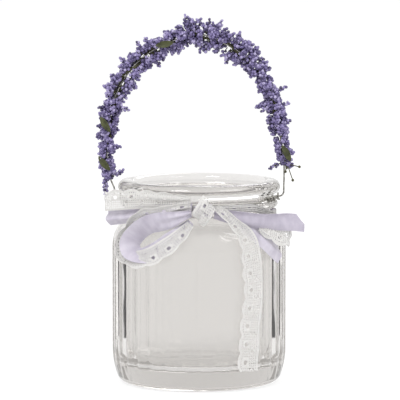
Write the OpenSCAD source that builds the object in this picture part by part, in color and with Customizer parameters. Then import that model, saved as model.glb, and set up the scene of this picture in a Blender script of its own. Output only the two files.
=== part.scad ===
// Ribbed glass jar lantern with a wire bail handle, an artificial lavender
// garland wound along the handle, and a satin and lace ribbon bow at the neck.
// Millimetres. +Z up, origin at the centre of the jar's base, the bow faces -Y.

/* [Jar] */
// Outside diameter of the jar's body
jar_d = 80; // [76:1:86]
// Height of the jar
jar_h = 93; // [90:1:105]
// Thickness of the side wall
wall = 3; // [2.5:0.25:4]
// Thickness of the bottom
floor_t = 9; // [6:0.5:12]
// Radius of the rounded shoulder
shoulder_r = 17.5; // [15:0.5:20]
// Outside diameter of the neck
neck_d = 63; // [60:0.5:65]
// Height of the plain neck between the shoulder and the small bead
neck_h = 3.2; // [2.6:0.2:5]
// Thickness of the glass at the neck
neck_wall = 2.2; // [1.8:0.1:3]
// Outside diameter of the rounded lip
lip_d = 74.6; // [74:0.2:77]
// Height of the rounded lip
lip_h = 6; // [5.6:0.2:7]
// Outside diameter of the small bead under the lip
bead_d = 72.6; // [71.6:0.2:73]
// Height of the small bead
bead_h = 2.8; // [2.4:0.1:3]
// Diameter of the glass in the groove between the lip and the bead
groove_d = 68.8; // [68:0.2:69.2]
// Height of the groove between the lip and the bead
groove_h = 3.4; // [3.4:0.1:4.2]
// Radius of the lip's inner top edge
rim_round = 2.4; // [1.5:0.1:2.8]
// Radius of the long curve above the heel
heel_r = 38; // [30:1:50]
// Height at which that curve starts
heel_h = 16; // [12:1:20]
// Radius of the corner at the base
corner_r = 5; // [3:0.5:6]
// Radius of the corner between the floor and the wall inside
floor_round = 7; // [4:0.5:10]
// Number of upright flutes
flutes = 32; // [28:1:36]
// Depth of a flute
flute_depth = 0.6; // [0.4:0.1:0.9]
// Radius of the tool that cuts a flute
flute_r = 1.2; // [1:0.1:1.6]

/* [Wire] */
// Diameter of the handle's and the neck's wire
wire_d = 0.8; // [0.6:0.05:0.9]
// Radius of the loop that holds the handle, to the middle of the wire
eye_r = 1.35; // [1.3:0.05:1.4]
// Turns of the neck wire's wound end
wrap_turns = 3.5; // [2:0.5:5]
// Height of the handle above its hinge
bail_rise = 75.6; // [72:0.5:90]
// Free width between the lip and a leg of the handle
leg_gap = 1.2; // [1:0.1:2]
// Radius of the bend at a leg's foot
foot_bend = 2.1; // [1.8:0.1:2.4]

/* [Garland] */
// Diameter of the garland's stem
stem_d = 1.1; // [0.9:0.1:1.3]
// Length of one turn of the stem round the handle
stem_pitch = 17; // [14:1:24]
// Usual reach of the florets from the handle's wire
floret_reach = 5.5; // [5:0.1:6]
// Gap between pieces that lie against each other
lay_gap = 0.25; // [0.2:0.05:0.4]
// Length of the sprig that hangs beside the left leg
hang_l = 8.5; // [6:0.5:9]
// Length of a leaf
leaf_l = 8.5; // [6:0.5:9]
// Width of a leaf
leaf_w = 3; // [2.5:0.1:3.6]
// Thickness of a leaf
leaf_t = 0.5; // [0.4:0.1:0.6]

/* [Ribbons] */
// Width of the satin ribbon
satin_w = 10; // [8:0.5:11]
// Width of the lace ribbon
lace_w = 11; // [9:0.5:11.5]
// Thickness of a ribbon with its nap and folds
ribbon_t = 0.5; // [0.4:0.05:0.6]
// Height of the gathered ribbon where it is tied round the neck
band_h = 3.6; // [3:0.2:4]
// Width of the knot
knot_w = 9; // [8:0.5:10]
// Height of the knot
knot_h = 7; // [6:0.5:8]
// Depth of the knot
knot_t = 4.4; // [3.6:0.2:5]

/* [Hidden] */

glass_colour = [0.86, 0.87, 0.87, 0.35];
silver = [0.72, 0.72, 0.70];
lavender = [0.45, 0.41, 0.66];
stem_green = [0.30, 0.33, 0.16];
leaf_green = [0.36, 0.42, 0.20];
lilac = [0.78, 0.74, 0.86];
white_lace = [0.93, 0.92, 0.90];

fine = 96;
round_fn = 32;
sliver = 0.01;

body_r = jar_d / 2;
neck_r = neck_d / 2;
mouth_r = neck_r - neck_wall;
lip_r = lip_d / 2;
lip_ring_r = lip_r - lip_h / 2;
bead_r = bead_d / 2;
bead_ring_r = bead_r - bead_h / 2;
groove_r = groove_d / 2;
groove_z = jar_h - lip_h - groove_h;
neck_top = groove_z - bead_h;
neck_z = neck_top - neck_h;
shoulder_c = body_r - shoulder_r;
shoulder_z = neck_z - sqrt(pow(shoulder_r, 2) - pow(neck_r - shoulder_c, 2));
heel_c = body_r - heel_r;
corner_c = heel_c + sqrt(pow(heel_r - corner_r, 2) - pow(heel_h - corner_r, 2));
corner_z = heel_h - (heel_h - corner_r) * heel_r / (heel_r - corner_r);
heel_steps = 4;

wire_r = wire_d / 2;
wire_fit = 0.1;
ring_r = groove_r + wire_r + wire_fit;
hinge_z = groove_z + groove_h / 2;
ring_drop = 1;
ring_z = hinge_z - ring_drop;
ear_stand = 1.95;
ear_x = max(lip_ring_r + ear_stand, ring_r + eye_r);
ear_half = 2.2;
ear_turn = 12;
ear_rod_x = ear_x + wire_r + wire_fit / 2;
leg_x = lip_r + leg_gap + wire_r;
pin_reach = 0.75;
pin_end = ear_x - pin_reach;
pin_grip = 0.01;
hook_r = 0.45;
hook_drop = 0.8;
bend_step = 15;
ring_step = 4;

// The wound end of the neck wire stands off the groove by its own thickness
wrap_fit = 0.05;
wrap_orbit = wire_d + wrap_fit;
wrap_r = groove_r + wire_fit + wrap_orbit + wire_r;
wrap_start = 14;
wrap_end = 32;
wrap_join = 42;

// The handle's arch, as shares of leg_x and bail_rise, from the right leg to the left one
ARCH = [
  [1, 0.21], [0.95, 0.39], [0.89, 0.55], [0.775, 0.70], [0.575, 0.835], [0.29, 0.928], [-0.035, 0.985],
  [-0.35, 0.93], [-0.655, 0.845], [-0.895, 0.70], [-1.035, 0.52], [-1.08, 0.34], [-1.077, 0.165]
];
leg_straight = 1.5;
leg_foot = foot_bend + leg_straight;
arch_points = concat(
  [[leg_x, 0, hinge_z + leg_foot]],
  [for (p = ARCH) [p.x * leg_x, 0, hinge_z + p.y * bail_rise]],
  [[-leg_x, 0, hinge_z + leg_foot]]
);
arch_last = len(arch_points) - 1;
arch_steps = 8;

stem_r = stem_d / 2;
stem_orbit = wire_r + stem_r + lay_gap;
stem_start = 0.75;
stem_stop = 13.2;
core_r = stem_orbit + stem_r + lay_gap;

// Each sprig: where it starts and ends along the handle's points, then how far its florets
// reach outside the arch, inside it, and to the front and back, as shares of floret_reach
SPRIGS = [
  [0.98, 1.84, 0.80, 0.60, 0.84], [1.90, 2.62, 0.91, 0.91, 0.87], [2.68, 3.42, 0.76, 1.35, 0.95],
  [3.48, 4.20, 0.62, 0.84, 0.76], [4.26, 4.98, 0.98, 1.02, 0.91], [5.04, 5.86, 1.24, 1.20, 1.05],
  [5.92, 6.62, 1.13, 1.16, 1.05], [6.68, 7.42, 1.42, 0.98, 0.98], [7.48, 8.12, 0.91, 1.02, 0.95],
  [8.18, 8.88, 0.80, 1.13, 0.91], [8.94, 9.66, 1.13, 1.02, 0.98], [9.72, 10.44, 1.09, 1.09, 0.95],
  [10.50, 11.10, 0.80, 0.91, 0.84], [11.16, 11.80, 0.95, 0.87, 0.84], [11.86, 12.54, 0.69, 0.76, 0.73],
  [12.60, 13.26, 0.65, 0.58, 0.65]
];
twig_r = 0.25;
bud_r = 0.65;
sprig_rings = 7;
sprig_sides = 14;
sprig_lump = 0.12;
sleeve_t = 0.9;

// Each leaf: the place along the handle, its distance from the wire as a share of floret_reach,
// its angle round the wire, and the turn of its blade in the plane that faces the wire
LEAVES = [[1.3, 1.06, -75, 28], [8.15, 1.18, -85, 100], [11.45, 1.06, -75, 35], [12.75, 0.86, -75, 40]];

// Ribbon stations: [bearing from the front, distance off the glass, drop below bow_z,
// turn of the width from edge-on (0) to flat on the glass (90), share of the width]
bow_lift = 0.5;
bow_z = groove_z - bead_h / 2 + bow_lift;
band_clear = 0.35;
SATIN_LEFT_LOOP = [
  [-4.8, 3.4, 1.4, 60, 0.35], [-11, 5.4, 2.6, 60, 0.6], [-19, 6.2, 4.2, 60, 0.9], [-27, 6.4, 5.6, 60, 1],
  [-34, 6.2, 7.2, 50, 1], [-40.5, 5.8, 10.6, 35, 1], [-43.5, 5.6, 15.4, 25, 1], [-41, 5.4, 19.6, 25, 1],
  [-34, 5.2, 20.4, 35, 1], [-25, 5.2, 18.0, 50, 1], [-17, 5.2, 13.6, 55, 0.9], [-10, 4.6, 8.6, 55, 0.6],
  [-5.4, 3.6, 5.2, 60, 0.35]
];
LACE_LEFT_LOOP = [
  [-5, 4.2, -1.9, 60, 0.3], [-13, 5.9, -0.8, 60, 0.55], [-21, 6.8, 1.0, 60, 0.75],
  [-29.5, 6.9, 2.2, 55, 0.85], [-37.5, 6.7, 4.4, 45, 0.85], [-44.2, 6.4, 9.4, 30, 0.85],
  [-47, 6.2, 15.6, 25, 0.85], [-44, 6.0, 21.4, 25, 0.85], [-35, 5.9, 23.2, 40, 0.85],
  [-25, 5.7, 21.0, 50, 0.85], [-16, 4.8, 16.8, 55, 0.75], [-9.5, 4.0, 11.8, 55, 0.5],
  [-5.6, 4.2, 8.8, 55, 0.3]
];
SATIN_LEFT_TAIL = [
  [-4.5, 2.3, -1.4, 90, 0.4], [-12, 2.3, -0.8, 90, 0.5], [-27, 2.4, 0.6, 90, 0.55], [-41, 3.3, 2.2, 90, 0.6],
  [-53.5, 6.2, 4.0, 90, 0.65], [-63.5, 10.4, 5.2, 90, 0.7]
];
LACE_LEFT_TAIL = [
  [-5, 3.4, -4.8, 90, 0.3], [-14, 3.3, -4.4, 90, 0.5], [-26, 3.5, -4.4, 90, 0.7], [-40, 5.2, -4.4, 90, 0.8],
  [-51.5, 8.0, -3.8, 90, 0.85], [-61.5, 12.2, -2.8, 90, 0.85]
];
SATIN_RIGHT_TAIL = [
  [10, 2.8, 1.6, 90, 0.4], [17, 3.2, 2.6, 90, 0.55], [27, 4.2, 4.2, 90, 0.7], [39, 5.6, 5.6, 90, 0.75],
  [51, 7.8, 6.4, 90, 0.75], [60, 11.2, 6.8, 90, 0.8], [64.5, 16.4, 7.4, 90, 0.85]
];
SATIN_RIGHT_STRAND = [
  [14, 2.1, 2.0, 90, 0.3], [22, 2.3, 3.4, 90, 0.4], [31, 2.4, 6.6, 90, 0.5], [39, 2.0, 10.6, 90, 0.55],
  [46, 1.5, 14.8, 90, 0.6], [54, 1.3, 19.0, 90, 0.6], [62, 1.3, 22.4, 90, 0.5]
];
LACE_RIGHT_END = [
  [41, 4.8, 8.2, 90, 0.4], [50, 5.8, 10.6, 90, 0.8], [57, 6.4, 13.0, 90, 0.9], [62.5, 7.2, 15.0, 90, 0.7]
];
LACE_LONG_TAIL = [
  [10.5, 5.2, -1.4, 90, 0.3], [16.5, 5.6, 1.8, 90, 0.4], [22.5, 6.0, 6.4, 90, 0.5],
  [28.5, 5.0, 10.8, 90, 0.7], [32, 3.0, 16.0, 90, 0.9], [34.5, 1.2, 23.6, 90, 1],
  [37, 0.6, 34.4, 90, 1], [36, 0.6, 43.4, 90, 1], [34, 0.6, 54.6, 90, 1], [33, 0.6, 64.6, 90, 1],
  [32.5, 0.8, 73.4, 90, 1]
];
strip_steps = 4;
tail_reach = 73.4;
tail_foot = 2.5;
tail_scale = min(1, (bow_z - tail_foot) / tail_reach);

// ---- geometry helpers ----

// Points of a smooth curve through the points p, n steps to each stretch
function spline(p, n) = [for (k = [0:(len(p) - 1) * n]) spline_at(p, k / n)];

// The point at place s along that curve, where a whole s is a point of p
function spline_at(p, s) =
  let (last = len(p) - 1, i = min(floor(s), last - 1), t = s - i,
       a = p[max(i - 1, 0)], b = p[i], c = p[i + 1], d = p[min(i + 2, last)])
  0.5 * (2 * b + (c - a) * t + (2 * a - 5 * b + 4 * c - d) * t * t + (3 * b - a - 3 * c + d) * t * t * t);

function unit(v) = v / norm(v);

// Length of the smooth curve through the points p
function spline_length(p) =
  let (q = spline(p, 4), parts = [for (i = [1:len(q) - 1]) norm(q[i] - q[i - 1])])
  parts * [for (part = parts) 1];

// Eases from 0 to 1 as x does
function smooth(x) = let (t = min(1, max(0, x))) t * t * (3 - 2 * t);

// Direction of travel at each point of a path
function headings(p) =
  [for (i = [0:len(p) - 1]) unit(p[min(i + 1, len(p) - 1)] - p[max(i - 1, 0)])];

// Part of v square to the unit vector t, as a unit vector
function square_to(v, t) = unit(v - (v * t) * t);

// Faces between successive loops of n points, with the ends closed or joined up
function loop_faces(loops, n, joined) = concat(
  [for (i = [0:loops - (joined ? 1 : 2)], j = [0:n - 1], half = [0, 1])
    let (next = (i + 1) % loops, a = i * n + j, b = i * n + (j + 1) % n, c = next * n + (j + 1) % n,
         d = next * n + j)
    half == 0 ? [a, b, c] : [a, c, d]],
  joined ? [] : [[for (j = [n - 1:-1:0]) j], [for (j = [0:n - 1]) (loops - 1) * n + j]]
);

// Sweeps sections along a path; ups[i] fixes how section i is turned, and a section's
// points are [along up, along heading x up]
module sweep(path, ups, sections, joined = false) {
  ways = joined
    ? [for (i = [0:len(path) - 1]) unit(path[(i + 1) % len(path)] - path[(i + len(path) - 1) % len(path)])]
    : headings(path);
  n = len(sections[0]);
  points = [for (i = [0:len(path) - 1])
    let (u = square_to(ups[i], ways[i]), v = cross(ways[i], u))
    for (q = sections[i]) path[i] + q.x * u + q.y * v];
  polyhedron(points, loop_faces(len(path), n, joined), convexity = 10);
}

function ring_section(r, sides) =
  [for (k = [0:sides - 1]) r * [cos(-360 * k / sides), sin(-360 * k / sides)]];

// A round tube of radius r
module tube(path, ups, r, sides) {
  sweep(path, ups, [for (p = path) ring_section(r, sides)]);
}

// Outside radius of everything glass below the lip at height z
function skin_r(z) =
  z <= shoulder_z ? body_r
  : max(bead_r, shoulder_c + sqrt(max(0, pow(shoulder_r, 2) - pow(z - shoulder_z, 2))));

// ---- jar ----

module jar_outline() {
  difference() {
    union() {
      square([groove_r, jar_h - lip_h / 2]);
      translate([lip_ring_r, jar_h - lip_h / 2]) circle(lip_h / 2, $fn = fine);
      translate([0, jar_h - lip_h]) square([lip_ring_r, lip_h]);
      translate([bead_ring_r, groove_z - bead_h / 2]) circle(bead_h / 2, $fn = fine);
    }
    translate([neck_r, 0]) square([body_r, groove_z - 0.75 * bead_h]);
  }
}

// Half section of the solid glass without its hollow
module solid_section() {
  jar_outline();
  intersection() {
    translate([shoulder_c, shoulder_z]) circle(shoulder_r, $fn = 2 * fine);
    translate([0, shoulder_z]) square([body_r, neck_z - shoulder_z]);
  }
  translate([0, heel_h]) square([body_r, shoulder_z - heel_h]);
  heel = [for (k = [0:heel_steps]) corner_z + (heel_h - corner_z) * k / heel_steps];
  polygon(concat([[0, heel_h], [0, corner_z]],
                 [for (z = heel) [heel_c + sqrt(pow(heel_r, 2) - pow(heel_h - z, 2)), z]]));
  translate([corner_c, corner_r]) circle(corner_r, $fn = fine);
  square([corner_c, corner_r + sliver]);
}

// Half section of the hollow inside
module hollow_section() {
  inner_r = body_r - wall;
  inner_arc = shoulder_r - wall;
  mouth_z = shoulder_z + sqrt(pow(inner_arc, 2) - pow(mouth_r - shoulder_c, 2));
  translate([0, floor_t + floor_round]) square([inner_r, shoulder_z - floor_t - floor_round]);
  translate([inner_r - floor_round, floor_t + floor_round]) circle(floor_round, $fn = fine);
  translate([0, floor_t]) square([inner_r - floor_round, floor_round + sliver]);
  intersection() {
    translate([shoulder_c, shoulder_z]) circle(inner_arc, $fn = fine);
    translate([0, shoulder_z - sliver]) square([inner_r, mouth_z - shoulder_z + sliver]);
  }
  translate([0, shoulder_z]) square([shoulder_c, inner_arc - sliver]);
  translate([0, shoulder_z]) square([mouth_r, jar_h]);
  difference() {
    translate([0, jar_h - rim_round]) square([mouth_r + rim_round, 2 * rim_round]);
    translate([mouth_r + rim_round, jar_h - rim_round]) circle(rim_round, $fn = fine);
  }
}

module glass_jar() {
  color(glass_colour)
    difference() {
      rotate_extrude($fn = fine) difference() {
        solid_section();
        hollow_section();
      }
      for (i = [0:flutes - 1])
        rotate(i * 360 / flutes - 90)
          translate([body_r + flute_r - flute_depth, 0, corner_r])
            cylinder(h = neck_z - corner_r, r = flute_r, $fn = round_fn);
    }
}

// ---- wires ----

// The neck wire's centre at bearing b: in the groove, or clear of it where the end is wound
function ring_point(b) =
  let (share = b > 0 ? 0 : smooth((b + wrap_join) / (wrap_join - wrap_end)),
       r = ring_r + share * (wrap_r - ring_r))
  [r * cos(b), r * sin(b), ring_z + share * (hinge_z - ring_z)];

// The ring round the groove with its two loops, on the right and the left
module neck_wire() {
  foot = hinge_z - eye_r;
  back = [for (b = [ear_turn:ring_step:180 - ear_turn]) ring_point(b)];
  front = [for (b = [ear_turn - 180:ring_step:-ear_turn]) ring_point(b)];
  path = concat(
    [[ear_rod_x, -ear_half, foot], [ear_rod_x, ear_half, foot]], back,
    [[-ear_rod_x, ear_half, foot], [-ear_rod_x, -ear_half, foot]], front
  );
  color(silver) {
    sweep(path, [for (p = path) [0, 0, 1]], [for (p = path) ring_section(wire_r, 12)], joined = true);
    for (side = [-1, 1])
      translate([side * ear_x, 0, hinge_z]) rotate([0, 90, 0])
        rotate_extrude($fn = fine) translate([eye_r, 0]) circle(wire_r, $fn = round_fn);
  }
}

// The wire's wound end, coiled round the ring in front of the right loop
module wire_wrap() {
  steps = 12 * wrap_turns;
  bearing = [for (k = [0:steps]) -wrap_start - (wrap_end - wrap_start) * k / steps];
  radial = [for (k = [0:steps]) let (spin = 360 * wrap_turns * k / steps)
    cos(spin) * [cos(bearing[k]), sin(bearing[k]), 0] + [0, 0, sin(spin)]];
  path = [for (k = [0:steps]) ring_point(bearing[k]) + wrap_orbit * radial[k]];
  color(silver) tube(path, radial, wire_r, 10);
}

// One foot of the handle, from the hook's tip to the start of the leg, as [x, z - hinge_z]
foot_points = concat(
  [[pin_end - hook_r, -hook_r - hook_drop]],
  [for (a = [90:-bend_step:0]) [pin_end - hook_r * sin(a), hook_r * cos(a) - hook_r]],
  [for (a = [0:bend_step:90]) [leg_x - foot_bend + foot_bend * sin(a), foot_bend - foot_bend * cos(a)]]
);

// The handle: one wire from hook to hook, with a true round pin through each loop
module bail_wire() {
  feet = len(foot_points) - 1;
  path = concat(
    [for (p = foot_points) [p.x, 0, hinge_z + p.y]],
    spline(arch_points, arch_steps),
    [for (k = [feet:-1:0]) [-foot_points[k].x, 0, hinge_z + foot_points[k].y]]
  );
  color(silver) {
    tube(path, [for (p = path) [0, 1, 0]], wire_r - pin_grip, 12);
    for (side = [0, 1]) mirror([side, 0, 0])
      translate([pin_end, 0, hinge_z]) rotate([0, 90, 0])
        cylinder(h = leg_x - foot_bend - pin_end, r = wire_r, $fn = round_fn);
  }
}

// ---- garland ----

// Direction of the handle at place s, and the direction out of its arch
function arch_way(s) =
  let (near = 0.05)
  unit(spline_at(arch_points, min(s + near, arch_last)) - spline_at(arch_points, max(s - near, 0)));
function arch_out(s) = cross([0, 1, 0], arch_way(s));

// The point at place s, distance r from the wire, at angle a: 0 is outside the arch, -90 is the front
function beside_arch(s, r, a) =
  spline_at(arch_points, s) + r * (cos(a) * arch_out(s) + sin(a) * [0, 1, 0]);

module garland_stem() {
  turns = spline_length(arch_points) * (stem_stop - stem_start) / arch_last / stem_pitch;
  steps = ceil(turns * 12);
  place = [for (k = [0:steps]) stem_start + (stem_stop - stem_start) * k / steps];
  angle = [for (k = [0:steps]) 360 * turns * k / steps];
  path = [for (k = [0:steps]) beside_arch(place[k], stem_orbit, angle[k])];
  radial = [for (k = [0:steps]) path[k] - spline_at(arch_points, place[k])];
  color(stem_green) tube(path, radial, stem_r, 7);
}

// Reach of a sprig's florets at share t of its length and angle a round the wire
function sprig_reach(sprig, t, a) =
  let (side = cos(a) > 0 ? sprig[2] : sprig[3],
       full = floret_reach / sqrt(pow(cos(a) / side, 2) + pow(sin(a) / sprig[4], 2)),
       swell = sqrt(max(0, 1 - pow(2 * t - 1, 4))),
       lump = 1 + sprig_lump * cos(5 * a + 540 * t),
       least = core_r + sleeve_t)
  max(least, least + (full * lump - least) * swell);

// A bushy sleeve of florets round the wire and stem
module sprig(i) {
  s = SPRIGS[i];
  loops = concat(
    [for (k = [0:sprig_rings - 1]) [k / (sprig_rings - 1), true]],
    [for (k = [sprig_rings - 1:-1:0]) [k / (sprig_rings - 1), false]]
  );
  points = [for (l = loops, j = [0:sprig_sides - 1])
    let (t = l[0], a = 360 * j / sprig_sides, r = l[1] ? sprig_reach(s, t, a) : core_r)
    beside_arch(s[0] + (s[1] - s[0]) * t, r, a)];
  color(lavender) polyhedron(points, loop_faces(2 * sprig_rings, sprig_sides, true), convexity = 4);
}

// The short sprig that hangs beside the left leg
module hanging_sprig() {
  below_last = 0.06;
  beside_wire = core_r + 0.4;
  drift = 0.08;
  thin = 0.7;
  swell = 0.8;
  rings = 6;
  top = beside_arch(SPRIGS[len(SPRIGS) - 1][1] + below_last, beside_wire, 0);
  path = [for (k = [0:rings]) top + hang_l * k / rings * [drift, 0, -1]];
  fat = [for (k = [0:rings]) thin + swell * sin(180 * (0.1 + 0.75 * k / rings))];
  color(lavender) sweep(path, [for (p = path) [0, 1, 0]], [for (f = fat) ring_section(f, 10)]);
}

// Three bare stems with a bud at each tip, at the right-hand end of the garland
module stem_ends() {
  place = 0.93;
  stand = stem_orbit + 0.9;
  angle = -50;
  root = beside_arch(place, stand, angle);
  tips = [[5.6, -2.5, -1.2], [2.6, -2.2, -7.4], [-0.8, -2.6, -3.4]];
  color(stem_green) for (t = tips) {
    tube([root, root + t], [[0, 1, 0], [0, 1, 0]], twig_r, 6);
    translate(root + t) sphere(bud_r, $fn = round_fn);
  }
}

module leaf(i) {
  l = LEAVES[i];
  seat = beside_arch(l[0], l[1] * floret_reach, l[2]);
  arc_r = (pow(leaf_l / 2, 2) + pow(leaf_w / 2, 2)) / leaf_w;
  face = unit(seat - spline_at(arch_points, l[0]));
  color(leaf_green) translate(seat)
    rotate([0, acos(face.z), atan2(face.y, face.x)]) rotate(l[3])
      linear_extrude(leaf_t, center = true)
        intersection_for(side = [-1, 1])
          translate([0, side * (arc_r - leaf_w / 2)]) circle(arc_r, $fn = 2 * round_fn);
}

// ---- ribbons ----

function out_way(a) = [sin(a), -cos(a), 0];

function station_point(q) =
  let (z = bow_z - q[2] * tail_scale) (skin_r(z) + q[1]) * out_way(q[0]) + [0, 0, z];

// Corners of a flat section, w wide and as thick as the ribbon
function flat_section(w) = let (a = w / 2, b = ribbon_t / 2) [[a, b], [a, -b], [-a, -b], [-a, b]];

// A flat ribbon through its stations
module strip(stations, width) {
  path = spline([for (q = stations) station_point(q)], strip_steps);
  ways = headings(path);
  fine_stations = spline(stations, strip_steps);
  ups = [for (i = [0:len(path) - 1]) let (q = fine_stations[i], out = out_way(q[0]))
    cos(q[3]) * out + sin(q[3]) * cross(ways[i], out)];
  sweep(path, ups, [for (q = fine_stations) flat_section(q[4] * width)]);
}

// A gathered ribbon tied round the neck, off the glass by off: it lies in the neck behind,
// climbs over the small bead at the sides and is wider in front
module band(off) {
  steps = 72;
  side_edge = 88;
  side_turn = 22;
  front_edge = 64;
  front_turn = 26;
  bearing = [for (k = [0:steps - 1]) -180 + 360 * k / steps];
  out = [for (b = bearing) smooth((side_edge - abs(b)) / side_turn)];
  front = [for (b = bearing) smooth((front_edge - abs(b)) / front_turn)];
  middle = neck_z + neck_h / 2;
  neck_band_h = neck_h - 2 * lay_gap;
  path = [for (k = [0:steps - 1])
    (neck_r + (bead_r - neck_r) * out[k] + off) * out_way(bearing[k])
    + [0, 0, middle + (bow_z - middle) * front[k]]];
  sections = [for (f = front) flat_section(neck_band_h + (band_h - neck_band_h) * f)];
  sweep(path, [for (b = bearing) [0, 0, 1]], sections, joined = true);
}

module satin_band() { color(lilac) band(band_clear + ribbon_t / 2); }
module lace_band() { color(white_lace) band(band_clear + ribbon_t * 1.5 + lay_gap); }

// The knot in front of the bands
module satin_knot() {
  back = bead_r + band_clear + 2 * (ribbon_t + lay_gap);
  corner = 1.6;
  lean = 3;
  color(lilac) rotate(lean) translate([0, -back - knot_t / 2, bow_z])
    hull() for (x = [-1, 1], y = [-1, 1], z = [-1, 1])
      translate([x * (knot_w / 2 - corner), y * (knot_t / 2 - corner), z * (knot_h / 2 - corner)])
        sphere(corner, $fn = 16);
}

module satin_left_loop() { color(lilac) strip(SATIN_LEFT_LOOP, satin_w); }
module satin_left_tail() { color(lilac) strip(SATIN_LEFT_TAIL, satin_w); }
module satin_right_tail() { color(lilac) strip(SATIN_RIGHT_TAIL, satin_w); }
module satin_right_strand() { color(lilac) strip(SATIN_RIGHT_STRAND, satin_w); }
module lace_left_loop() { color(white_lace) strip(LACE_LEFT_LOOP, lace_w); }
module lace_left_tail() { color(white_lace) strip(LACE_LEFT_TAIL, lace_w); }
module lace_right_end() { color(white_lace) strip(LACE_RIGHT_END, lace_w); }
module lace_long_tail() { color(white_lace) strip(LACE_LONG_TAIL, lace_w); }

// ---- assembly ----

glass_jar();
neck_wire();
wire_wrap();
bail_wire();
garland_stem();
stem_ends();
hanging_sprig();
for (i = [1:len(SPRIGS)]) sprig(i - 1);
for (i = [1:len(LEAVES)]) leaf(i - 1);
satin_band();
satin_knot();
satin_left_loop();
satin_left_tail();
satin_right_tail();
satin_right_strand();
lace_band();
lace_left_loop();
lace_left_tail();
lace_right_end();
lace_long_tail();
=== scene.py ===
"""Jar lantern: ribbed glass jar, wire handle with an artificial lavender garland, satin and lace bow."""

import math
import random

import bpy
import numpy as np
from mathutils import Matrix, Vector


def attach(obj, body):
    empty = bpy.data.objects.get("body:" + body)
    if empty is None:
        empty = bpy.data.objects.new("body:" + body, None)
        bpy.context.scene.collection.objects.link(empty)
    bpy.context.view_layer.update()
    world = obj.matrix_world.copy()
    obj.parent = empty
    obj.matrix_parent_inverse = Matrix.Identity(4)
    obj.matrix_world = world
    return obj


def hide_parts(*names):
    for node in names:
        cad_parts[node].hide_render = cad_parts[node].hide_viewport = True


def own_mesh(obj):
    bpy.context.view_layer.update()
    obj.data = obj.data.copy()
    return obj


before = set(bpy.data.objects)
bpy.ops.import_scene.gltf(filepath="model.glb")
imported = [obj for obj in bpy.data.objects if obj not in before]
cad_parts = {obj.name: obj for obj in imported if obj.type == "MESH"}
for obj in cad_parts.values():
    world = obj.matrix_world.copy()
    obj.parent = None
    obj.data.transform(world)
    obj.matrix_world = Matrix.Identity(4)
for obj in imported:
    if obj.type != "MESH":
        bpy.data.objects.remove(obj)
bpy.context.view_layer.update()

MM = 0.001
X, Y, Z = np.eye(3)

# ---- sizes, in millimetres, as in the part's source ----

BODY_R, SHOULDER_R, SHOULDER_Z, SHOULDER_C = 40.0, 17.5, 62.6, 22.5
NECK_R, NECK_Z, NECK_H, MOUTH_R = 31.5, 77.6, 3.2, 29.3
LIP_H, LIP_R, JAR_H, RIM_ROUND = 6.0, 37.3, 93.0, 2.4
BEAD_R, BEAD_H, GROOVE_R, GROOVE_Z = 36.3, 2.8, 34.4, 83.6
WALL, FLOOR_T, FLOOR_ROUND = 3.0, 9.0, 7.0
HEEL_R, HEEL_H, CORNER_R = 38.0, 16.0, 5.0
FLUTES, FLUTE_DEPTH, FLUTE_R = 32, 0.6, 1.2
HINGE_Z, LEG_X, BAIL_RISE = 85.3, 38.9, 75.6
LEG_FOOT = 3.6
SATIN_W, LACE_W, RIBBON_T, BAND_H = 10.0, 11.0, 0.5, 3.6
BOW_Z = 82.7
BAND_CLEAR, LAY_GAP = 0.35, 0.25
KNOT_W, KNOT_H, KNOT_T = 9.0, 7.0, 4.4
CORE_R = 2.0

ARCH = [
    (1, 0.21), (0.95, 0.39), (0.89, 0.55), (0.775, 0.70), (0.575, 0.835), (0.29, 0.928), (-0.035, 0.985),
    (-0.35, 0.93), (-0.655, 0.845), (-0.895, 0.70), (-1.035, 0.52), (-1.08, 0.34), (-1.077, 0.165),
]
# Lengths of garland: start and end along ARCH_POINTS, then reach outside, inside and in depth
SPRIGS = [
    (0.98, 1.84, 4.4, 3.3, 4.6), (1.90, 2.62, 5.0, 5.0, 4.8), (2.68, 3.42, 4.2, 7.4, 5.2),
    (3.48, 4.20, 3.4, 4.6, 4.2), (4.26, 4.98, 5.4, 5.6, 5.0), (5.04, 5.86, 6.8, 6.6, 5.8),
    (5.92, 6.62, 6.2, 6.4, 5.8), (6.68, 7.42, 7.8, 5.4, 5.4), (7.48, 8.12, 5.0, 5.6, 5.2),
    (8.18, 8.88, 4.4, 6.2, 5.0), (8.94, 9.66, 6.2, 5.6, 5.4), (9.72, 10.44, 6.0, 6.0, 5.2),
    (10.50, 11.10, 4.4, 5.0, 4.6), (11.16, 11.80, 5.2, 4.8, 4.6), (11.86, 12.54, 3.8, 4.2, 4.0),
    (12.60, 13.26, 3.6, 3.2, 3.6),
]
# Leaves: place along ARCH_POINTS, distance from the wire, side of the wire, turn on the face
LEAVES = [(1.3, 5.8, -75, 28), (8.15, 6.5, -85, 100), (11.45, 5.8, -75, 35), (12.75, 4.9, -75, 40)]
LEAF_L, LEAF_W = 8.5, 3.0
HANG_L = 8.5

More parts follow.
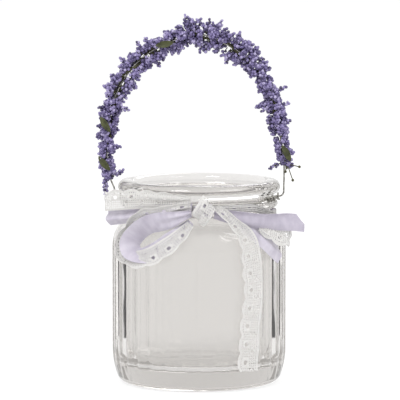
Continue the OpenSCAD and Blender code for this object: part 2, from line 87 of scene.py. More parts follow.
# Ribbon stations: bearing from the front, distance off the glass, drop below BOW_Z,
# turn of the width from edge-on to flat on the glass, share of the width
SATIN_LEFT_LOOP = [
    (-4.8, 3.4, 1.4, 60, 0.35), (-11, 5.4, 2.6, 60, 0.6), (-19, 6.2, 4.2, 60, 0.9), (-27, 6.4, 5.6, 60, 1),
    (-34, 6.2, 7.2, 50, 1), (-40.5, 5.8, 10.6, 35, 1), (-43.5, 5.6, 15.4, 25, 1), (-41, 5.4, 19.6, 25, 1),
    (-34, 4.8, 20.2, 42, 1), (-25, 4.4, 17.8, 64, 1), (-17, 4.3, 13.4, 68, 0.9), (-10, 3.9, 8.4, 64, 0.6),
    (-5.4, 3.2, 5.0, 60, 0.35),
]
LACE_LEFT_LOOP = [
    (-5, 4.2, -1.9, 60, 0.3), (-13, 5.9, -0.8, 60, 0.55), (-21, 6.8, 1.0, 60, 0.75),
    (-29.5, 6.9, 2.2, 55, 0.85), (-37.5, 6.7, 4.4, 45, 0.85), (-44.2, 6.6, 9.4, 30, 0.85),
    (-47, 6.6, 15.6, 27, 0.85), (-44, 6.7, 21.0, 34, 0.85), (-35, 6.9, 22.2, 56, 0.85),
    (-25, 7.0, 19.4, 68, 0.85), (-16, 6.6, 14.6, 70, 0.75), (-9.5, 5.8, 9.4, 68, 0.55),
    (-5.0, 4.9, 6.0, 64, 0.35),
]
SATIN_LEFT_TAIL = [
    (-4.5, 2.3, -1.4, 90, 0.4), (-12, 2.3, -0.8, 90, 0.5), (-27, 2.4, 0.6, 90, 0.55),
    (-41, 3.3, 2.2, 90, 0.6), (-53.5, 6.2, 4.0, 90, 0.65), (-63.5, 10.4, 5.2, 90, 0.7),
]
LACE_LEFT_TAIL = [
    (-5, 3.4, -4.8, 90, 0.3), (-14, 3.3, -4.4, 90, 0.5), (-26, 3.5, -4.4, 90, 0.7),
    (-40, 5.2, -4.4, 90, 0.8), (-51.5, 8.0, -3.8, 90, 0.85), (-61.5, 12.2, -2.8, 90, 0.85),
]
SATIN_RIGHT_TAIL = [
    (10, 2.8, 1.6, 90, 0.4), (17, 3.2, 2.6, 100, 0.55), (27, 4.2, 4.2, 112, 0.7), (39, 5.6, 5.6, 114, 0.75),
    (51, 7.8, 6.4, 104, 0.75), (60, 11.2, 6.8, 78, 0.8), (64.5, 16.4, 7.4, 66, 0.85),
]
SATIN_RIGHT_STRAND = [
    (14, 2.1, 2.0, 90, 0.3), (22, 2.3, 3.4, 88, 0.45), (31, 2.4, 6.6, 84, 0.6), (39, 2.2, 10.6, 80, 0.72),
    (46, 1.9, 14.8, 78, 0.8), (54, 1.8, 19.0, 78, 0.84), (62, 1.8, 22.4, 80, 0.8),
]
LACE_RIGHT_END = [
    (41, 4.8, 8.2, 90, 0.4), (50, 5.8, 10.6, 90, 0.8), (57, 6.4, 13.0, 90, 0.9), (62.5, 7.2, 15.0, 90, 0.7),
]
LACE_LONG_TAIL = [
    (10.5, 5.2, -1.4, 90, 0.3), (16.5, 5.6, 1.8, 90, 0.4), (22.5, 6.0, 6.4, 90, 0.5),
    (28.5, 5.0, 10.8, 90, 0.7), (32, 3.0, 16.0, 90, 0.9), (34.5, 1.2, 23.6, 90, 1), (37, 0.6, 34.4, 90, 1),
    (36, 0.6, 43.4, 90, 1), (34, 0.6, 54.6, 90, 1), (33, 0.6, 64.6, 90, 1), (32.5, 0.8, 73.4, 90, 1),
]
LACE_KNOT = [
    (6.4, 3.9, -4.0, 90, 0.75), (5.6, 5.6, -3.5, 90, 0.75), (4.4, 6.9, -2.0, 90, 0.75),
    (2.8, 7.2, 0, 90, 0.75), (1.0, 6.9, 2.0, 90, 0.75), (-0.4, 5.6, 3.5, 90, 0.75),
    (-1.2, 4.0, 4.0, 90, 0.75),
]


# ---- camera ----

CAMERA_AT, CAMERA_AIM = (0, -1.341, 0.2217), (0.00043, 0, 0.08344)
SENSOR_W, LENS = 36, 264.1


def set_camera():
    data = bpy.data.cameras.new("camera")
    data.sensor_width = SENSOR_W
    data.lens = LENS
    data.clip_start, data.clip_end = 0.05, 60
    camera = bpy.data.objects.new("camera", data)
    bpy.context.scene.collection.objects.link(camera)
    camera.location = CAMERA_AT
    camera.rotation_euler = (Vector(CAMERA_AIM) - camera.location).to_track_quat("-Z", "Y").to_euler()
    bpy.context.scene.camera = camera


set_camera()


# ---- curves and places ----

def spline_at(points, s):
    """A smooth curve through the points: a whole s is a point, and the curve bends between them."""
    last = len(points) - 1
    i = min(int(s), last - 1)
    t = s - i
    a, b, c, d = (points[k] for k in (max(i - 1, 0), i, i + 1, min(i + 2, last)))
    bend = 2 * b + (c - a) * t + (2 * a - 5 * b + 4 * c - d) * t ** 2 + (3 * b - a - 3 * c + d) * t ** 3
    return 0.5 * bend


def turned(a, b, angle):
    """A point turned about the middle."""
    return a * math.cos(angle) - b * math.sin(angle), a * math.sin(angle) + b * math.cos(angle)


def unit(v):
    return v / np.linalg.norm(v)


def out_way(bearing):
    """Straight out from the jar's middle, at a bearing in degrees from the front."""
    a = math.radians(bearing)
    return np.array([math.sin(a), -math.cos(a), 0])


def skin_r(z):
    """Outside radius of the glass below the lip at height z."""
    if z <= SHOULDER_Z:
        return BODY_R
    return max(BEAD_R, SHOULDER_C + math.sqrt(max(0, SHOULDER_R ** 2 - (z - SHOULDER_Z) ** 2)))


ARCH_POINTS = [np.array(p) for p in (
    [(LEG_X, 0, HINGE_Z + LEG_FOOT)]
    + [(x * LEG_X, 0, HINGE_Z + z * BAIL_RISE) for x, z in ARCH]
    + [(-LEG_X, 0, HINGE_Z + LEG_FOOT)])]
ARCH_END = len(ARCH_POINTS) - 1
NEARBY = 0.05


def arch_out(s):
    """Away from the inside of the arch, square to the handle's wire."""
    ahead, behind = min(s + NEARBY, ARCH_END), max(s - NEARBY, 0)
    return np.cross(Y, unit(spline_at(ARCH_POINTS, ahead) - spline_at(ARCH_POINTS, behind)))


def beside_arch(s, r, angle):
    """Distance r from the handle's wire: 0 is outside its arch, -90 is the front."""
    a = math.radians(angle)
    return spline_at(ARCH_POINTS, s) + r * (math.cos(a) * arch_out(s) + math.sin(a) * Y)


# ---- making pieces ----

def new_piece(name, points, faces):
    """A piece from its points, in millimetres, and its faces."""
    mesh = bpy.data.meshes.new(name)
    mesh.from_pydata([tuple(p * MM) for p in points], [], faces)
    piece = bpy.data.objects.new(name, mesh)
    bpy.context.scene.collection.objects.link(piece)
    return piece


def dress(piece, body, replaces):
    """Joins a piece to its body, and hides the part's own pieces that it stands for."""
    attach(piece, body)
    if replaces:
        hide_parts(*replaces)


def make_active(piece):
    bpy.ops.object.select_all(action="DESELECT")
    piece.select_set(True)
    bpy.context.view_layer.objects.active = piece


def start_from(primitive, name, **settings):
    """Adds a primitive with nothing else selected, and names it."""
    bpy.ops.object.select_all(action="DESELECT")
    primitive(**settings)
    piece = bpy.context.object
    piece.name = name
    return piece


def thicken(piece, thickness):
    """Gives a flat piece its thickness, half to each side."""
    make_active(piece)
    modifier = piece.modifiers.new("thickness", "SOLIDIFY")
    modifier.thickness = thickness * MM
    modifier.offset = 0
    bpy.ops.object.modifier_apply(modifier=modifier.name)


def smooth(piece, degrees=None):
    """Smooth shading all over, or only where faces meet at less than so many degrees."""
    make_active(piece)
    if degrees is None:
        bpy.ops.object.shade_smooth()
    else:
        bpy.ops.object.shade_smooth_by_angle(angle=math.radians(degrees))


# ---- finishes ----

def linear(r, g, b):
    """A colour as it is seen on a screen, turned into the numbers that a shader takes."""
    return tuple(c / 12.92 if c <= 0.04045 else ((c + 0.055) / 1.055) ** 2.4
                 for c in (r / 255, g / 255, b / 255)) + (1,)


def grey(v):
    return (v, v, v, 1)


def math_node(tree, operation, a, b):
    """A value worked out from two others, each a number or a node's output."""
    made = tree.nodes.new("ShaderNodeMath")
    made.operation = operation
    for socket, value in zip(made.inputs, (a, b)):
        if isinstance(value, (int, float)):
            socket.default_value = value
        else:
            tree.links.new(value, socket)
    return made.outputs[0]


class Finish:
    """A material with its shader and short ways to add texture nodes."""

    def __init__(self, name, colour, **inputs):
        self.material = bpy.data.materials.new(name)
        self.material.use_nodes = True
        self.tree = self.material.node_tree
        self.shader = self.tree.nodes["Principled BSDF"]
        self.shader.inputs["Base Color"].default_value = colour
        for key, value in inputs.items():
            self.shader.inputs[key.replace("_", " ")].default_value = value

    def node(self, kind, **values):
        made = self.tree.nodes.new(kind)
        for key, value in values.items():
            if key in made.inputs:
                made.inputs[key].default_value = value
            else:
                setattr(made, key, value)
        return made

    def link(self, source, target):
        self.tree.links.new(source, target)

    def place(self):
        return self.node("ShaderNodeTexCoord").outputs["Object"]

    def cloth_place(self):
        return self.node("ShaderNodeUVMap", uv_map="cloth").outputs["UV"]

    def noise(self, where, scale, detail, stretch=None):
        texture = self.node("ShaderNodeTexNoise", Scale=scale, Detail=detail)
        if stretch:
            mapping = self.node("ShaderNodeMapping", Scale=stretch)
            self.link(where, mapping.inputs["Vector"])
            where = mapping.outputs["Vector"]
        self.link(where, texture.inputs["Vector"])
        return texture.outputs["Fac"]

    def wave(self, where, scale, direction):
        texture = self.node("ShaderNodeTexWave", Scale=scale, bands_direction=direction)
        self.link(where, texture.inputs["Vector"])
        return texture.outputs["Fac"]

    def ramp(self, factor, stops):
        """Colours the surface by a factor from 0 to 1."""
        ramp = self.node("ShaderNodeValToRGB")
        elements = ramp.color_ramp.elements
        while len(elements) < len(stops):
            elements.new(0.5)
        for element, (position, colour) in zip(elements, stops):
            element.position = position
            element.color = colour
        self.link(factor, ramp.inputs["Fac"])
        self.link(ramp.outputs["Color"], self.shader.inputs["Base Color"])

    def math(self, operation, a, b):
        return math_node(self.tree, operation, a, b)

    def bump(self, height, distance, strength):
        bump = self.node("ShaderNodeBump", Distance=distance, Strength=strength)
        self.link(height, bump.inputs["Height"])
        self.link(bump.outputs["Normal"], self.shader.inputs["Normal"])


# Painted glow of the glass: past this glossy depth it emits this much light, standing in for light lost on
# cut-short paths
MANY_TURNS, PAINTED_GLOW = 2.5, 0.26


def pressed_glass():
    """Thick, faintly grey glass. Rays that have turned inside it many times give off a painted glow:
    emission standing in for light lost on cut-short paths.
    """
    f = Finish("pressed_glass", (0.80, 0.787, 0.773, 1), Roughness=0.05, IOR=1.5, Transmission_Weight=1.0,
               Emission_Color=(0.70, 0.685, 0.665, 1))
    f.bump(f.noise(f.place(), 60, 2.0, (1, 1, 0.35)), 0.0006, 0.35)
    # Painted glow: the glass emits only where a ray's glossy depth passes MANY_TURNS
    path = f.node("ShaderNodeLightPath")
    deep = f.math("GREATER_THAN", path.outputs["Glossy Depth"], MANY_TURNS)
    f.link(f.math("MULTIPLY", deep, PAINTED_GLOW), f.shader.inputs["Emission Strength"])
    body = f.node("ShaderNodeVolumeAbsorption", Color=(0.12, 0.06, 0.0, 1), Density=5.0)
    f.link(body.outputs["Volume"], f.tree.nodes["Material Output"].inputs["Volume"])
    return f.material


def galvanised_wire():
    f = Finish("galvanised_wire", linear(168, 166, 160), Metallic=1.0, Roughness=0.36)
    place = f.place()
    f.ramp(f.noise(place, 900, 4.0), [(0.35, linear(128, 126, 120)), (0.7, linear(196, 194, 188))])
    rough = f.node("ShaderNodeMapRange", **{"To Min": 0.28, "To Max": 0.5})
    f.link(f.noise(place, 1500, 2.0), rough.inputs["Value"])
    f.link(rough.outputs["Result"], f.shader.inputs["Roughness"])
    f.bump(f.noise(place, 2600, 3.0), 0.00004, 0.6)
    return f.material


def foam_berry():
    f = Finish("foam_berry", linear(96, 88, 128), Roughness=0.5, Specular_IOR_Level=0.5)
    tint = f.node("ShaderNodeAttribute", attribute_name="tint")
    mixed = f.math("ADD", f.math("MULTIPLY", tint.outputs["Fac"], 0.75),
                   f.math("MULTIPLY", f.noise(f.place(), 1400, 3.0), 0.35))
    f.ramp(mixed, [(0.1, linear(60, 52, 82)), (0.4, linear(102, 92, 136)), (0.7, linear(138, 127, 172)),
                   (1.0, linear(184, 176, 208))])
    f.bump(f.noise(f.place(), 5200, 2.0), 0.00006, 0.5)
    return f.material


def stem_wrap():
    f = Finish("stem_wrap", linear(70, 68, 42), Roughness=0.75)
    f.ramp(f.noise(f.place(), 700, 4.0), [(0.3, linear(44, 42, 26)), (0.7, linear(92, 90, 58))])
    f.bump(f.noise(f.place(), 2400, 3.0, (1, 1, 3)), 0.00008, 0.7)
    return f.material


def leaf_skin():
    f = Finish("leaf_skin", linear(92, 98, 50), Roughness=0.55, Specular_IOR_Level=0.35)
    f.ramp(f.noise(f.place(), 420, 3.0), [(0.3, linear(44, 46, 26)), (0.7, linear(78, 82, 46))])
    f.bump(f.noise(f.place(), 1800, 3.0), 0.00006, 0.6)
    return f.material


def satin_cloth(name, deep, pale, gloss):
    """Woven satin ribbon: the glossy finish, or a duller copy whose darker colour is painted shade."""
    f = Finish(name, linear(*pale), Roughness=gloss, Specular_IOR_Level=0.45,
               Sheen_Weight=0.25, Sheen_Roughness=0.35)
    cloth = f.cloth_place()
    f.ramp(f.noise(cloth, 0.35, 3.0, (1, 0.5, 1)), [(0.3, linear(*deep)), (0.7, linear(*pale))])
    weave = f.math("ADD", f.wave(cloth, 2.2, "Y"), f.noise(cloth, 3.0, 2.0, (0.15, 3, 1)))
    f.bump(weave, 0.00002, 0.5)
    return f.material


def lace_cloth():
    f = Finish("lace_cloth", linear(222, 219, 215), Roughness=0.85, Sheen_Weight=0.15, Sheen_Roughness=0.5)
    cloth = f.cloth_place()
    f.ramp(f.noise(cloth, 1.2, 3.0), [(0.25, linear(222, 219, 216)), (0.75, linear(243, 242, 240))])
    threads = f.math("ADD", f.wave(cloth, 1.6, "X"), f.wave(cloth, 1.6, "Y"))
    f.bump(threads, 0.00008, 0.8)
    return f.material


GLASS, WIRE, BERRY, STEM = pressed_glass(), galvanised_wire(), foam_berry(), stem_wrap()
LEAF, LACE = leaf_skin(), lace_cloth()
SATIN = satin_cloth("satin_cloth", (186, 180, 194), (207, 202, 213), 0.38)
# A duller, darker copy of the satin: its rougher gloss is real, its darker colour is painted shade for the
# shadowed right tail
SATIN_SHADED = satin_cloth("satin_painted_shade", (170, 164, 179), (187, 181, 194), 0.55)
DARK = Finish("dark_card", grey(0.01), Roughness=1.0, Specular_IOR_Level=0.0).material


def wear(piece, *materials):
    piece.data.materials.clear()
    for material in materials:
        piece.data.materials.append(material)


def finish_node(name, material):
    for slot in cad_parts[name].material_slots:
        slot.material = material


for name in ("neck_wire", "wire_wrap", "bail_wire"):
    finish_node(name, WIRE)
for name in ("garland_stem", "stem_ends"):
    finish_node(name, STEM)


# ---- jar ----

# Points that only space the section's rings, and how flutes are pressed
FOOT_R, FLOOR_RS, MOUTH_ZS = 24, (20, 10), (84, 78)
NECK_ROUND, GROOVE_ROUND, UPRIGHT_STEPS = 0.25, 0.1, 6
FLUTE_STEPS, FLUTE_FADE, FLUTE_TOP, FLUTE_SOFTEN = 8, 8, SHOULDER_Z + 7, 1.25
SAME_PLACE = 0.00001


def arc(cx, cz, r, start, stop, steps):
    turns = [math.radians(start + (stop - start) * k / steps) for k in range(steps + 1)]
    return [(cx + r * math.cos(a), cz + r * math.sin(a)) for a in turns]


def upright(r, start, stop):
    """The points of a plain wall between its two ends."""
    return [(r, start + (stop - start) * k / UPRIGHT_STEPS) for k in range(1, UPRIGHT_STEPS)]


def jar_profile():
    """Half section of the glass, from its foot round the outside, over the lip and down to the floor."""
    heel_c, inner_arc, inner_r = BODY_R - HEEL_R, SHOULDER_R - WALL, BODY_R - WALL
    corner_c = heel_c + math.sqrt((HEEL_R - CORNER_R) ** 2 - (HEEL_H - CORNER_R) ** 2)
    corner_top = HEEL_H - (HEEL_H - CORNER_R) * HEEL_R / (HEEL_R - CORNER_R)
    heel_start = math.degrees(math.asin((corner_top - HEEL_H) / HEEL_R))
    shoulder_end = math.degrees(math.asin((NECK_Z - SHOULDER_Z) / SHOULDER_R))
    mouth_start = math.degrees(math.acos((MOUTH_R - SHOULDER_C) / inner_arc))
    points = [(FOOT_R / 2, 0), (FOOT_R, 0)]
    points += arc(corner_c, CORNER_R, CORNER_R, -90, heel_start, 6)
    points += arc(heel_c, HEEL_H, HEEL_R, heel_start, 0, 5)[1:]
    points += upright(BODY_R, HEEL_H, SHOULDER_Z)
    points += arc(SHOULDER_C, SHOULDER_Z, SHOULDER_R, 0, shoulder_end, 12)
    points += [(NECK_R, NECK_Z + NECK_ROUND), (NECK_R, GROOVE_Z - BEAD_H)]
    points += arc(BEAD_R - BEAD_H / 2, GROOVE_Z - BEAD_H / 2, BEAD_H / 2, -80, 80, 7)
    points += [(GROOVE_R, GROOVE_Z + GROOVE_ROUND), (GROOVE_R, JAR_H - LIP_H - GROOVE_ROUND)]
    points += arc(LIP_R - LIP_H / 2, JAR_H - LIP_H / 2, LIP_H / 2, -80, 90, 9)
    points += arc(MOUTH_R + RIM_ROUND, JAR_H - RIM_ROUND, RIM_ROUND, 90, 180, 5)
    points += [(MOUTH_R, z) for z in MOUTH_ZS]
    points += arc(SHOULDER_C, SHOULDER_Z, inner_arc, mouth_start, 0, 9)
    points += upright(inner_r, SHOULDER_Z, FLOOR_T + FLOOR_ROUND)
    points += arc(inner_r - FLOOR_ROUND, FLOOR_T + FLOOR_ROUND, FLOOR_ROUND, 0, -90, 6)
    return points + [(r, FLOOR_T) for r in FLOOR_RS]


def glass_jar():
    """The half section is drawn point by point, spun round the middle, and its flutes are pressed in."""
    profile = jar_profile()
    jar = start_from(bpy.ops.mesh.primitive_plane_add, "clear_jar", size=0.002, location=(0, 0, 0))
    bpy.ops.object.mode_set(mode="EDIT")
    bpy.ops.mesh.merge(type="CENTER")
    for (r0, z0), (r1, z1) in zip([(0, 0)] + profile, profile + [(0, FLOOR_T)]):
        bpy.ops.mesh.extrude_region_move(
            TRANSFORM_OT_translate={"value": ((r1 - r0) * MM, 0, (z1 - z0) * MM)})
    bpy.ops.mesh.select_all(action="SELECT")
    bpy.ops.mesh.spin(steps=FLUTE_STEPS * FLUTES, angle=math.tau, center=(0, 0, 0), axis=(0, 0, 1))
    bpy.ops.mesh.select_all(action="SELECT")
    bpy.ops.mesh.remove_doubles(threshold=SAME_PLACE)
    bpy.ops.mesh.normals_make_consistent(inside=False)
    bpy.ops.object.mode_set(mode="OBJECT")
    press_flutes(jar)
    smooth(jar)
    wear(jar, GLASS)
    dress(jar, "jar", ["glass_jar"])


def on_outside(r, z):
    """Tells the glass's outside from its inside, in the wall and in the shoulder."""
    return r > BODY_R - WALL + 0.5 if z < SHOULDER_Z else r > skin_r(z) - 1.2


def press_flutes(jar):
    """Moves the outside in along each flute, deepest down its middle, and fades it out at both ends."""
    pitch = math.tau / FLUTES
    reach = math.sqrt(FLUTE_R ** 2 - (FLUTE_R - FLUTE_DEPTH) ** 2)
    for vertex in jar.data.vertices:
        x, y, z = (c / MM for c in vertex.co)
        r = math.hypot(x, y)
        if not on_outside(r, z) or not CORNER_R < z < NECK_Z:
            continue
        turn = math.atan2(y, x) + math.pi / 2
        away = abs((turn + pitch / 2) % pitch - pitch / 2) * r
        fade = min(1, (z - CORNER_R) / FLUTE_FADE) * min(1, max(0, (FLUTE_TOP - z) / FLUTE_FADE))
        depth = FLUTE_DEPTH * fade * max(0, 1 - (away / (reach * FLUTE_SOFTEN)) ** 2)
        vertex.co.x *= 1 - depth / r
        vertex.co.y *= 1 - depth / r


glass_jar()


# ---- ribbons ----

# Steps from one station to the next, the cloth's thickness, and the grid of satin
STATION_STEPS = 16
CLOTH_T, SATIN_CELL, BAND_CELL = 0.18, 0.42, 0.5
# Round the neck: the ribbon's height at the back, and the bearings where it comes out and rises in front
BACK_H, BAND_MIDDLE = NECK_H - 2 * LAY_GAP, NECK_Z + NECK_H / 2
OUT_FROM, OUT_OVER, RISE_FROM, RISE_OVER = 88, 22, 64, 26
# Pleats: the most that cloth is gathered, the height they have for it, and the calmer middle of the bands
MOST_GATHERED, PLEAT_H = 1.9, 0.235
CALM_SPAN, CALM_SHARE = 0.13, 0.4
PLEAT_SWAY, PLEAT_SWAY_L, RIPPLE_L = 0.25, 3.1, 2.9
BAND_PLEATS, BAND_WAVES = 4, 0.05
# How much of a ribbon's width its slanted end takes
SLANT_SPAN = 0.6
# Lace: the scallops' length and depth, the mesh's cell, and where its holes lie
SCALLOP, SCALLOP_DEPTH, CELL = 8.2, 1.3, 0.55
EYELET_R, EYELET_AT, EYELET_RIM, EYELET_OPEN = 1.0, 0.62, 1.1, 0.95
SMALL_AT, SMALL_FROM, SMALL_TO = 0.32, 0.9, 1.7
EDGE_ROWS = 2


def ease(x):
    """Rises smoothly from 0 to 1, and stays level outside them."""
    t = min(1, max(0, x))
    return t * t * (3 - 2 * t)


class Route:
    """A ribbon's middle line, with the directions of its width and its face, and its width along it."""

    def __init__(self, stations, width):
        table = [np.array(q, float) for q in stations]
        places = [self.point(q) for q in table]
        steps = range((len(table) - 1) * STATION_STEPS + 1)
        self.points = np.array([spline_at(places, k / STATION_STEPS) for k in steps])
        fine = np.array([spline_at(table, k / STATION_STEPS) for k in steps])
        ways = np.gradient(self.points, axis=0)
        ways /= np.linalg.norm(ways, axis=1)[:, None]
        ups = []
        for way, q in zip(ways, fine):
            out, turn = out_way(q[0]), math.radians(q[3])
            up = math.cos(turn) * out + math.sin(turn) * np.cross(way, out)
            ups.append(unit(up - np.dot(up, way) * way))
        self.ups = np.array(ups)
        self.faces = np.cross(ways, self.ups)
        self.widths = width * fine[:, 4]
        self.measure()

    @staticmethod
    def point(q):
        z = BOW_Z - q[2]
        return (skin_r(z) + q[1]) * out_way(q[0]) + np.array([0, 0, z])

    def measure(self):
        steps = np.linalg.norm(np.diff(self.points, axis=0), axis=1)
        self.along = np.concatenate([[0], np.cumsum(steps)])
        self.length = self.along[-1]

    def at(self, length):
        def read(rows):
            return np.stack([np.interp(length, self.along, rows[:, k]) for k in range(3)], axis=-1)
        width = np.interp(length, self.along, self.widths)
        return read(self.points), read(self.ups), read(self.faces), width


class NeckRoute(Route):
    """The gathered ribbon round the neck, off the glass by off."""

    def __init__(self, off):
        bearings = range(-180, 181)
        outs = [ease((OUT_FROM - abs(b)) / OUT_OVER) for b in bearings]
        fronts = [ease((RISE_FROM - abs(b)) / RISE_OVER) for b in bearings]
        self.faces = np.array([out_way(b) for b in bearings])
        self.ups = np.array([Z for _ in bearings])
        radii = [NECK_R + (BEAD_R - NECK_R) * out + off for out in outs]
        heights = [BAND_MIDDLE + (BOW_Z - BAND_MIDDLE) * front for front in fronts]
        self.points = np.array([r * face + Z * z for r, face, z in zip(radii, self.faces, heights)])
        self.widths = np.array([BACK_H + (BAND_H - BACK_H) * front for front in fronts])
        self.measure()


def pleated(route, u, v, width, pleats, waves, depth, calm_front, seed):
    """Lays flat cloth along a route. Where it is gathered it folds into pleats that keep its real width."""
    rng = random.Random(seed)
    fold_start, sway_start, ripple_start = (rng.uniform(0, math.tau) for _ in range(3))
    points, ups, faces, wide = route.at(u)
    across = v / width - 0.5
    ratio = np.clip(width / wide, 1, MOST_GATHERED)
    height = PLEAT_H * depth * (wide / pleats) * np.sqrt(ratio ** 2 - 1)
    if calm_front:
        height = np.where(np.abs(u / route.length - 0.5) < CALM_SPAN, CALM_SHARE * height, height)
    sway = PLEAT_SWAY * np.sin(u / PLEAT_SWAY_L + sway_start)
    fold = height * np.cos(math.tau * pleats * across + fold_start + sway)
    ripple = waves * np.sin(u / RIPPLE_L + ripple_start + 1.2 * across) * (0.4 + 1.6 * np.abs(across))
    return points + ups * (across * wide)[..., None] + faces * (fold + ripple)[..., None]


def ribbon(name, route, width, slot, material, cell, pleats, waves, seed, keep=None, shape=None,
           replaced=None, depth=1.0, calm_front=False):
    """Thin cloth along a route. keep says which cells of its grid are cloth, and shape cuts its edges."""
    rows, cols = max(2, round(route.length / cell)), round(width / cell)
    lines = np.linspace(0, route.length, rows + 1), np.linspace(0, width, cols + 1)
    u, v = np.meshgrid(*lines, indexing="ij")
    if shape:
        u, v = shape(u, v, width)
    places = pleated(route, u, v, width, pleats, waves, depth, calm_front, seed)
    index = np.arange(u.size).reshape(u.shape).tolist()
    cells = [(i, j) for i in range(rows) for j in range(cols) if keep is None or keep(i, j)]
    quads = [(index[i][j], index[i + 1][j], index[i + 1][j + 1], index[i][j + 1]) for i, j in cells]
    piece = new_piece(name, places.reshape(-1, 3), quads)
    layer = piece.data.uv_layers.new(name="cloth")
    flat = np.stack([u, v], axis=-1).reshape(-1, 2)
    for loop in piece.data.loops:
        layer.data[loop.index].uv = flat[loop.vertex_index]
    make_active(piece)
    bpy.ops.object.mode_set(mode="EDIT")
    bpy.ops.mesh.select_all(action="SELECT")
    bpy.ops.mesh.delete_loose()
    bpy.ops.object.mode_set(mode="OBJECT")
    thicken(piece, CLOTH_T)
    smooth(piece, 40)
    wear(piece, material)
    dress(piece, "jar", [name.replace("_cloth", "")] if replaced is None else replaced)
    return piece


def eyelet_places(u, width):
    return np.round(u / SCALLOP - 0.5) * SCALLOP + SCALLOP / 2, width * EYELET_AT


def scalloped(u, v, width):
    """The far edge runs in scallops, and cloth round each eyelet is drawn to its rim."""
    edge = width - SCALLOP_DEPTH * (1 - np.abs(np.sin(math.pi * u / SCALLOP)))
    v = np.where(v > width / 2, width / 2 + (v - width / 2) * (edge - width / 2) / (width / 2), v)
    cu, cv = eyelet_places(u, width)
    du, dv = u - cu, v - cv
    away = np.hypot(du, dv) + 1e-6
    near = np.abs(away - EYELET_R) < 0.45 * CELL
    pull = np.where(near, EYELET_R / away, 1)
    return cu + du * pull, cv + dv * pull


def lace_cell(length, width):
    """Which cells of lace are cloth: open eyelets with a full rim, a ring of small holes, an open net."""
    rows, cols = max(2, round(length / CELL)), round(width / CELL)

    def keep(i, j):
        u, v = (i + 0.5) * length / rows, (j + 0.5) * width / cols
        cu, cv = (float(x) for x in eyelet_places(np.array(u), width))
        away = math.hypot(u - cu, v - cv)
        if away < EYELET_R * EYELET_OPEN:
            return False
        if away < EYELET_R + EYELET_RIM or not EDGE_ROWS <= j < cols - EDGE_ROWS:
            return True
        small = math.hypot(u - cu - SCALLOP / 2, v - width * SMALL_AT)
        if SMALL_FROM < small < SMALL_TO:
            return (i + j) % 2 == 0
        return not (i % 2 == 0 and j % 2 == 0)
    return keep


def slanted(cut):
    """Cuts a ribbon's end on the slant: its upper edge is shorter by cut."""
    def shape(u, v, width):
        return u * (1 - cut / u.max() * np.clip(1 - v / (SLANT_SPAN * width), 0, 1)), v
    return shape


def satin(name, stations, seed, pleats=2, depth=0.5, cut=1.0, cloth=SATIN):
    route = Route(stations, SATIN_W)
    piece = ribbon(name, route, SATIN_W, "satin", cloth, SATIN_CELL, pleats, 0.2, seed,
                   shape=slanted(cut), depth=depth)


def lace_ribbon(name, route, pleats, waves, seed, **rest):
    return ribbon(name, route, LACE_W, "lace", LACE, CELL, pleats, waves, seed,
                  keep=lace_cell(route.length, LACE_W), **rest)


def lace(name, stations, seed):
    route = Route(stations, LACE_W)
    piece = lace_ribbon(name, route, 2, 0.25, seed, shape=scalloped, depth=0.4)


satin("satin_left_loop_cloth", SATIN_LEFT_LOOP, seed=3, cut=0)
satin("satin_left_tail_cloth", SATIN_LEFT_TAIL, seed=5, pleats=1, depth=0.9)
# The right tail wears the darker satin copy, whose colour is painted shade
satin("satin_right_tail_cloth", SATIN_RIGHT_TAIL, seed=7, pleats=1, depth=0.4, cut=3.6,
      cloth=SATIN_SHADED)
satin("satin_right_strand_cloth", SATIN_RIGHT_STRAND, seed=9, pleats=1, depth=0.6)
lace("lace_left_loop_cloth", LACE_LEFT_LOOP, seed=11)
lace("lace_left_tail_cloth", LACE_LEFT_TAIL, seed=13)
lace("lace_right_end_cloth", LACE_RIGHT_END, seed=15)
lace("lace_long_tail_cloth", LACE_LONG_TAIL, seed=17)


def bands():
    """The two ribbons round the neck, the lace over the satin."""
    inner = NeckRoute(BAND_CLEAR + RIBBON_T / 2)
    piece = ribbon("satin_band_cloth", inner, SATIN_W, "satin", SATIN, BAND_CELL, BAND_PLEATS, BAND_WAVES,
                   seed=21, calm_front=True)
    outer = NeckRoute(BAND_CLEAR + RIBBON_T * 1.5 + LAY_GAP)
    piece = lace_ribbon("lace_band_cloth", outer, BAND_PLEATS, BAND_WAVES, seed=21, calm_front=True)


bands()


# Knot: its turn, how square it is, its creases, and how much cloth lies round and over it
KNOT_TURN, KNOT_SQUARENESS = math.radians(3), 0.62
CREASES, CREASE_DEPTH, CREASE_SLOPE, CREASE_FADE = 9, 0.07, 0.55, 0.4
KNOT_ROUND, KNOT_OVER = 26, 9


def knot():
    """The knot: a rounded block of satin, creased by the pull of the ribbons, modelled from a sphere."""
    back = BEAD_R + BAND_CLEAR + 2 * (RIBBON_T + LAY_GAP)
    centre = np.array([0, -(back + KNOT_T / 2), BOW_Z])
    half = np.array([KNOT_W, KNOT_T, KNOT_H]) / 2
    piece = start_from(bpy.ops.mesh.primitive_uv_sphere_add, "satin_knot_cloth",
                       segments=56, ring_count=40, radius=1, location=(0, 0, 0))
    for vertex in piece.data.vertices:
        p = np.array(vertex.co)
        full = np.sign(p) * np.abs(p) ** KNOT_SQUARENESS
        full /= max(1, np.abs(full).max())
        wave = 1 + math.cos(CREASES * math.atan2(p[2], p[0] * CREASE_SLOPE))
        crease = 1 - CREASE_DEPTH * wave * (1 - CREASE_FADE * p[1] ** 2)
        x, y, z = full * half * crease + centre
        vertex.co = Vector((*turned(x, y, KNOT_TURN), z)) * MM
    layer = piece.data.uv_layers[0]
    layer.name = "cloth"
    for item in layer.data:
        item.uv = (item.uv[0] * KNOT_ROUND, item.uv[1] * KNOT_OVER)
    smooth(piece)
    wear(piece, SATIN)
    dress(piece, "jar", ["satin_knot"])


def knot_lace():
    """The short end of lace that is drawn over the knot."""
    route = Route(LACE_KNOT, LACE_W)
    piece = lace_ribbon("lace_knot_cloth", route, 2, 0.1, seed=31, replaced=(), depth=0.5)


knot()
knot_lace()


# ---- garland ----

